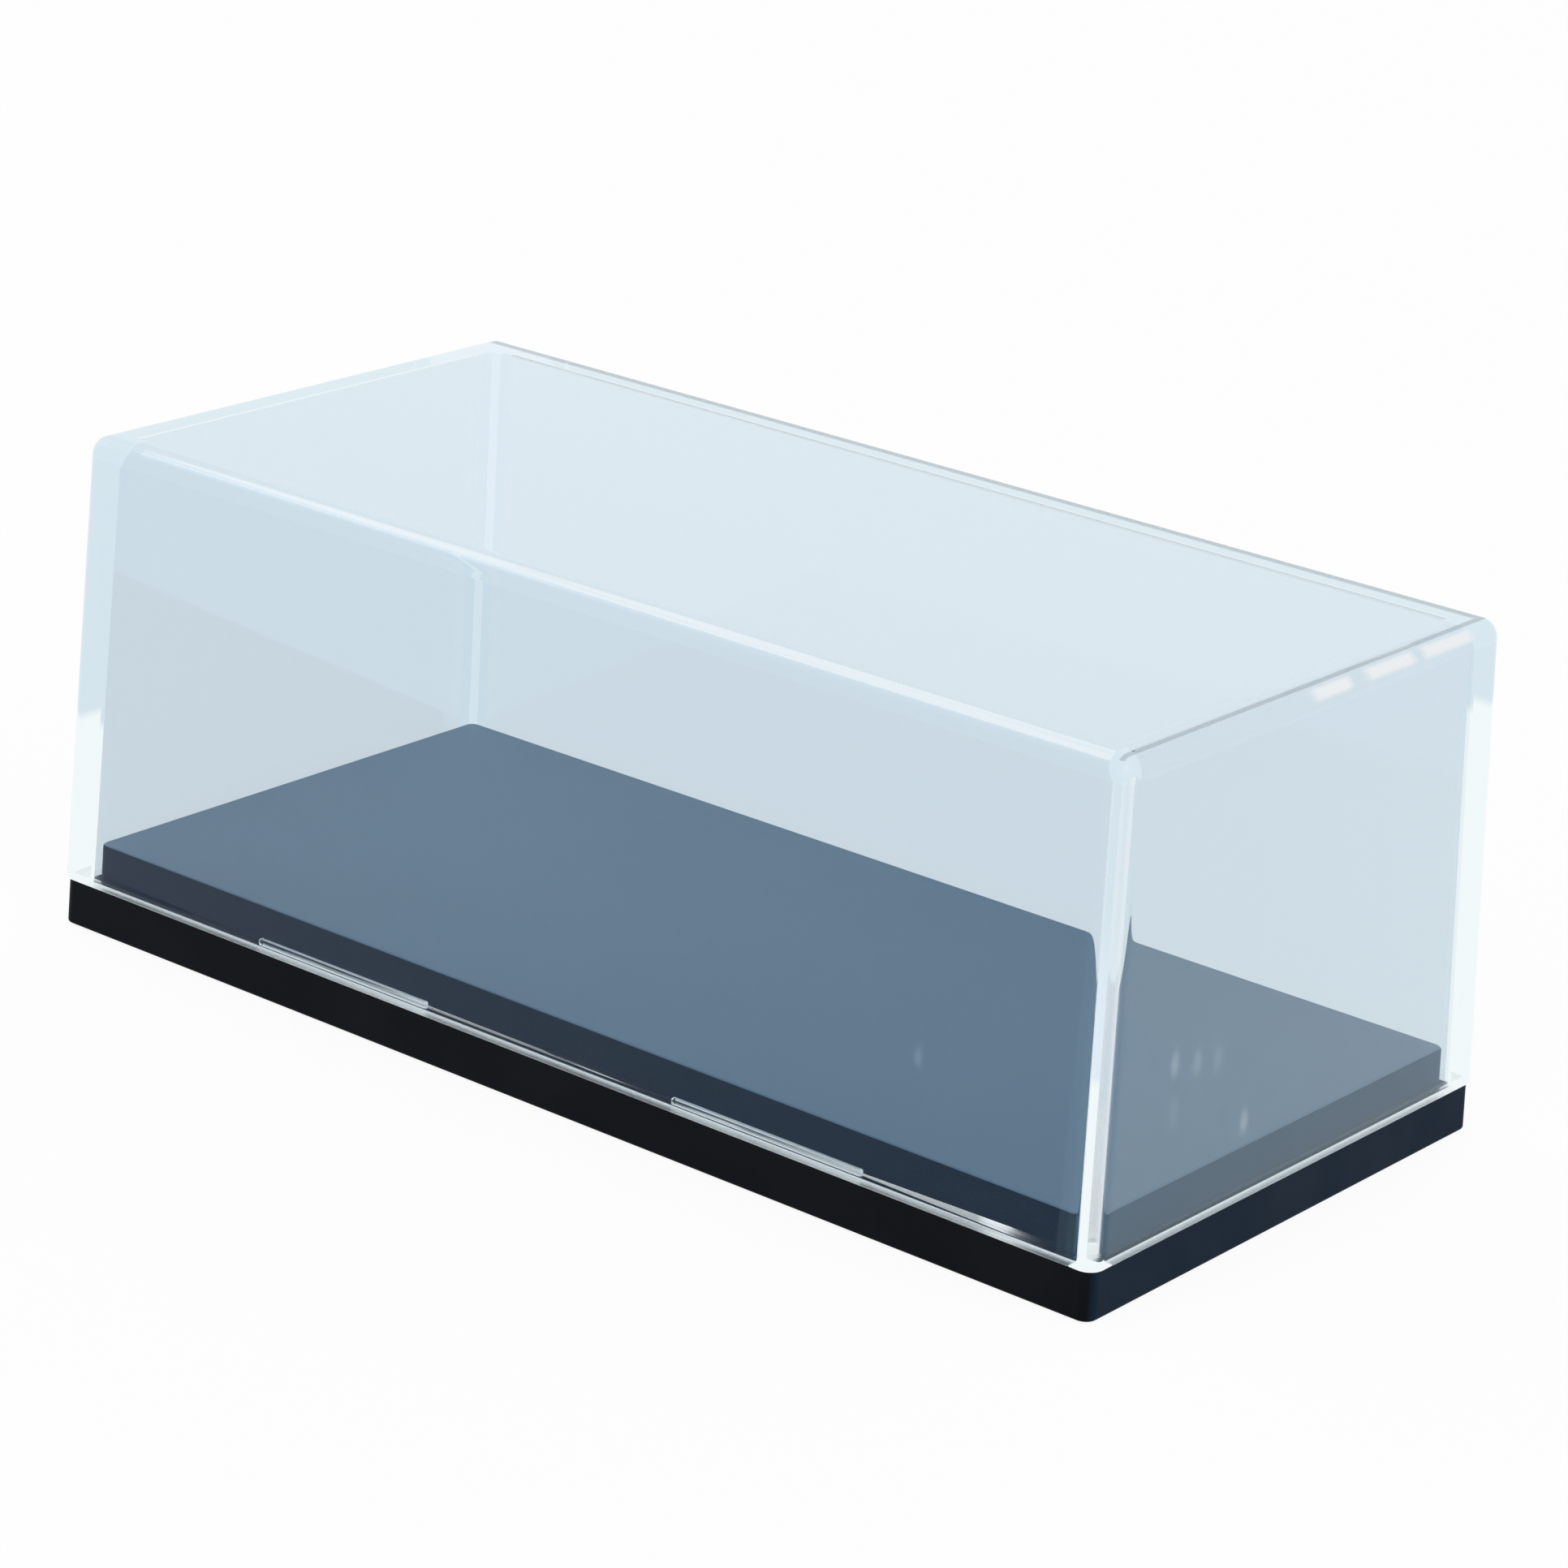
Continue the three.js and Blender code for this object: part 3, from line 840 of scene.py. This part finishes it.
# %% Which rays are caught, and lamps let through
ONE_TURN, THREE_MIRRORS, TEN_TURNS = 0.5, 2.5, 9.5
gathered = product(clear, in_post, maths(clear, "GREATER_THAN", path["Ray Depth"], ONE_TURN))
many_mirrors = maths(clear, "GREATER_THAN", path["Glossy Depth"], THREE_MIRRORS)
many_turns = maths(clear, "GREATER_THAN", path["Ray Depth"], TEN_TURNS)
caught = maths(clear, "MAXIMUM", gathered, maths(clear, "MAXIMUM", many_mirrors, many_turns))
one_crossing = (*(part**0.5 for part in TINT[:3]), 1.0)
veil = add_node(clear, "ShaderNodeBsdfTransparent", {"Color": one_crossing}).outputs[0]
surface = laid_over(clear, path["Is Shadow Ray"], laid_over(clear, caught, wear_and_painted_light, glow), veil)
add_node(clear, "ShaderNodeOutputMaterial", {"Surface": surface})
print("clear plastic:", len(clear.nodes), "nodes")

# %% [markdown]
# ## Black plastic
#
# The rim is dyed through, so it stays black where it is rubbed, and only its shine changes. A fine moulded grain
# breaks up the highlights, and fingers and shelves polish the edges a little. Grain could be modelled as geometry,
# but at a third of a millimetre a bump does the same for far less work.
#
# In the photograph the end faces look bluer and lighter than the long ones, because they face a brighter part of
# the room. Two plain soft lamps don't show that, so the outer end faces get a paler shade, and more so above the
# ledge. The hollow underneath stays black.

# %% Helpers for opaque plastic


def bump(tree, height, strength, depth):
    """Normals of a fine relief of this depth."""
    return add_node(tree, "ShaderNodeBump", {"Height": height, "Strength": strength, "Distance": depth}).outputs[0]


def opaque(tree, colour, roughness, shine, normal):
    """Ends a tree in an opaque plastic."""
    values = {"Base Color": colour, "Roughness": roughness, "Specular IOR Level": shine, "Normal": normal}
    shader = add_node(tree, "ShaderNodeBsdfPrincipled", values).outputs[0]
    add_node(tree, "ShaderNodeOutputMaterial", {"Surface": shader})


print("helpers for opaque plastic: bump and opaque")

# %% Grain and shade of the rim
GRAIN_SCALE, CLOUD_SCALE, SHADE_CLOUDS = 3200.0, 90.0, (0.35, 0.75)
RIM_DARK, RIM_LIGHT = (0.0030, 0.0035, 0.0062, 1.0), (0.0058, 0.0065, 0.0100, 1.0)
black = black_plastic.node_tree
black.nodes.clear()
rim_place = add_node(black, "ShaderNodeTexCoord").outputs["Object"]
rim_where = add_node(black, "ShaderNodeSeparateXYZ", {0: rim_place}).outputs
grain = noise(black, rim_place, GRAIN_SCALE, detail=2.0)
cloud = noise(black, rim_place, CLOUD_SCALE, detail=4.0)
shade = blend(black, ramp(black, cloud, *SHADE_CLOUDS), RIM_DARK, RIM_LIGHT)
print("one grain is about", round(1 / GRAIN_SCALE / MM, 2), "mm wide")

# %% Paler end faces
END_RIM, END_PLATFORM = (0.0040, 0.0150, 0.0310, 1.0), (0.0250, 0.0680, 0.1200, 1.0)
END_FACES_FROM, END_FACING, LEDGE_BLEND = 70 * MM, (0.6, 0.95), 0.3 * MM
facing = add_node(black, "ShaderNodeTexCoord").outputs["Normal"]
facing_x = add_node(black, "ShaderNodeSeparateXYZ", {0: facing}).outputs["X"]
end_facing = product(
    black,
    maths(black, "MULTIPLY", facing_x, maths(black, "SIGN", rim_where["X"])),
    maths(black, "GREATER_THAN", maths(black, "ABSOLUTE", rim_where["X"]), END_FACES_FROM),
)
above_ledge = ramp(black, rim_where["Z"], ledge_height, ledge_height + LEDGE_BLEND)
paler = blend(black, above_ledge, END_RIM, END_PLATFORM)
shade = blend(black, ramp(black, end_facing, *END_FACING), shade, paler)
print("paler faces lie beyond", round(END_FACES_FROM / MM), "mm from the middle")

# %% Polished edges, and the rim's shader
POLISH_FADES, POLISH_FULL, POLISH = 0.5 * MM, 0.1 * MM, 0.14
UNEVEN, RIM_ROUGHNESS, RIM_SHINE = (0.3, 0.7), (0.46, 0.56), 0.05
GRAIN_STRENGTH, GRAIN_DEPTH = 0.25, 0.02 * MM
near_ledge = ramp(black, rim_where["Z"], ledge_height - POLISH_FADES, ledge_height - POLISH_FULL)
near_table = ramp(black, rim_where["Z"], POLISH_FADES, POLISH_FULL)
polish = maths(black, "MULTIPLY", maths(black, "MAXIMUM", near_ledge, near_table), cloud)
unpolished = ramp(black, cloud, *UNEVEN, *RIM_ROUGHNESS)
roughness = maths(black, "SUBTRACT", unpolished, maths(black, "MULTIPLY", polish, POLISH))
opaque(black, shade, roughness, RIM_SHINE, bump(black, grain, GRAIN_STRENGTH, GRAIN_DEPTH))
print("black plastic:", len(black.nodes), "nodes")

# %% [markdown]
# ## The platform's top
#
# Seen at a low angle, the platform looks slate blue instead of black, because its satin surface mirrors the room
# that the tinted cover lets in. The mirror alone could make that colour, if the whole room were built. With a plain
# white room, part of that reflection is painted into the top's colour as slate blue. The painted colour and the
# roughness are a bit uneven, as on any large moulded flat.

# %% Satin of the platform, with a painted reflection in its colour
HAZE_SCALE, HAZE, FINE_SCALE = 26.0, (0.3, 0.7), 2600.0
# The slate blue of the top is a painted reflection of the room, on black plastic.
PAINTED_REFLECTION_DARK, PAINTED_REFLECTION_LIGHT = (0.090, 0.166, 0.246, 1.0), (0.102, 0.184, 0.270, 1.0)
PLATFORM_ROUGHNESS, PLATFORM_SHINE = (0.3, 0.36), 0.5
FINE_STRENGTH, FINE_DEPTH = 0.12, 0.01 * MM
satin = platform_satin_and_reflection.node_tree
satin.nodes.clear()
top_place = add_node(satin, "ShaderNodeTexCoord").outputs["Object"]
haze = noise(satin, top_place, HAZE_SCALE, detail=3.0)
fine = noise(satin, top_place, FINE_SCALE, detail=2.0)
top_reflection = blend(satin, ramp(satin, haze, *HAZE), PAINTED_REFLECTION_DARK, PAINTED_REFLECTION_LIGHT)
top_roughness = ramp(satin, haze, *HAZE, *PLATFORM_ROUGHNESS)
opaque(satin, top_reflection, top_roughness, PLATFORM_SHINE, bump(satin, fine, FINE_STRENGTH, FINE_DEPTH))
print("platform satin:", len(satin.nodes), "nodes")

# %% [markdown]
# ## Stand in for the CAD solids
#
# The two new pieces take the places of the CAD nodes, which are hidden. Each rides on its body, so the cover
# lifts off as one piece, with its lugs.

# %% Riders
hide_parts("clear_cover")
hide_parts("display_base")
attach(cover, "cover")
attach(base, "base")
print("riders:", cover.name, "on cover,", base.name, "on base")

# %% [markdown]
# ## Floor, room and lamps
#
# The photograph is a catalogue picture on white. The floor and the room look plain white to the camera, to
# mirrors and through clear plastic, while the floor still takes a soft share of the case's shadow. A floor that only
# glows would be simpler, but then the case would seem to float. The light on the case itself stays at a plain level,
# partly from the room and partly from two large soft lamps.

# %% Floor
FLOOR_HALF, FLOOR_DROP = 3.0, 0.2 * MM
floor_shape = bmesh.new()
corners = [(x * FLOOR_HALF, y * FLOOR_HALF, -FLOOR_DROP) for x, y in ((-1, -1), (1, -1), (1, 1), (-1, 1))]
floor_shape.faces.new([floor_shape.verts.new(corner) for corner in corners])
floor = new_piece("floor", floor_shape)
print("floor:", 2 * FLOOR_HALF, "metres square")

# %% White floor that keeps a soft shadow
PLAIN_WHITE, PAPER = (1.0, 1.0, 1.0, 1.0), (0.97, 0.97, 0.97, 1.0)
PAPER_ROUGHNESS, GLOWING_SHARE = 0.9, 0.92


def seen_directly(tree):
    """1 for rays from the camera, from a mirror or through clear plastic."""
    rays = add_node(tree, "ShaderNodeLightPath").outputs
    straight = maths(tree, "MAXIMUM", rays["Is Camera Ray"], rays["Is Glossy Ray"])
    return maths(tree, "MAXIMUM", straight, rays["Is Transmission Ray"])


paper = bpy.data.materials.new("paper_white")
paper.use_nodes = True
floor.data.materials.append(paper)
sheet = paper.node_tree
sheet.nodes.clear()
matt = {"Base Color": PAPER, "Roughness": PAPER_ROUGHNESS, "Specular IOR Level": 0.0}
lit = add_node(sheet, "ShaderNodeBsdfPrincipled", matt).outputs[0]
white = add_node(sheet, "ShaderNodeEmission", {"Color": PLAIN_WHITE, "Strength": 1.0}).outputs[0]
share = maths(sheet, "MULTIPLY", seen_directly(sheet), GLOWING_SHARE)
add_node(sheet, "ShaderNodeOutputMaterial", {"Surface": laid_over(sheet, share, lit, white)})
print("the floor glows with", GLOWING_SHARE, "of its white, and the lamps light the rest")

# %% Room
ROOM_LIGHT = 0.8
world = bpy.data.worlds.new("studio")
bpy.context.scene.world = world
world.use_nodes = True
sky = world.node_tree
sky.nodes.clear()
strength = ramp(sky, seen_directly(sky), 0.0, 1.0, ROOM_LIGHT, 1.0)
room = add_node(sky, "ShaderNodeBackground", {"Color": PLAIN_WHITE, "Strength": strength}).outputs[0]
add_node(sky, "ShaderNodeOutputWorld", {"Surface": room})
print("the room lights the case with", ROOM_LIGHT, "of its white")

# %% Lamps
# Each has its place and its size in metres, and its watts.
LAMP_AIM = Vector((0.0, 0.0, 0.03))
LAMPS = {
    "key_lamp": ((0.9, -1.1, 1.5), (1.4, 1.4), 4.5),
    "fill_lamp": ((-1.5, -0.3, 1.1), (1.2, 1.2), 2.0),
}
for name, (spot, size, watts) in LAMPS.items():
    light = bpy.data.lights.new(name, "AREA")
    light.shape = "RECTANGLE"
    light.size, light.size_y = size
    light.energy = watts
    lamp = bpy.data.objects.new(name, light)
    lamp.location = spot
    lamp.rotation_euler = (LAMP_AIM - Vector(spot)).to_track_quat("-Z", "Y").to_euler()
    bpy.context.scene.collection.objects.link(lamp)
print("lamps:", list(LAMPS))

# %% [markdown]
# ## Camera
#
# The camera was found by fitting the case's corners and edges to the photograph. It looks down at the case from
# the right of its front, and is rolled a little. It could be placed by eye and stored as a matrix, but the point it
# looks at, its direction and its distance can be read and checked.

# %% Which way the camera looks
AZIMUTH, ELEVATION, ROLL = math.radians(38.158), math.radians(19.914), math.radians(3.471)
forward = -Vector(
    (math.sin(AZIMUTH) * math.cos(ELEVATION), -math.cos(AZIMUTH) * math.cos(ELEVATION), math.sin(ELEVATION))
)
level_right = Vector((math.cos(AZIMUTH), math.sin(AZIMUTH), 0.0))
level_up = level_right.cross(forward)
right = level_right * math.cos(ROLL) + level_up * math.sin(ROLL)
up = right.cross(forward)
print("it looks along", [round(value, 3) for value in forward])

# %% Camera
AIM = Vector((2.40, 1.51, 29.20)) * MM
DISTANCE = 575.60 * MM
SENSOR, FOCAL, NEAREST = 36.0, 117.20, 0.01
lens = bpy.data.cameras.new("photo_camera")
lens.sensor_width, lens.lens, lens.clip_start = SENSOR, FOCAL, NEAREST
camera = bpy.data.objects.new("photo_camera", lens)
turned_to_case = Matrix((right, up, -forward)).transposed().to_4x4()
camera.matrix_world = Matrix.Translation(AIM - forward * DISTANCE) @ turned_to_case
bpy.context.scene.collection.objects.link(camera)
bpy.context.scene.camera = camera
bpy.context.scene.view_settings.view_transform = "Standard"
print("camera at", [round(value, 4) for value in camera.location])
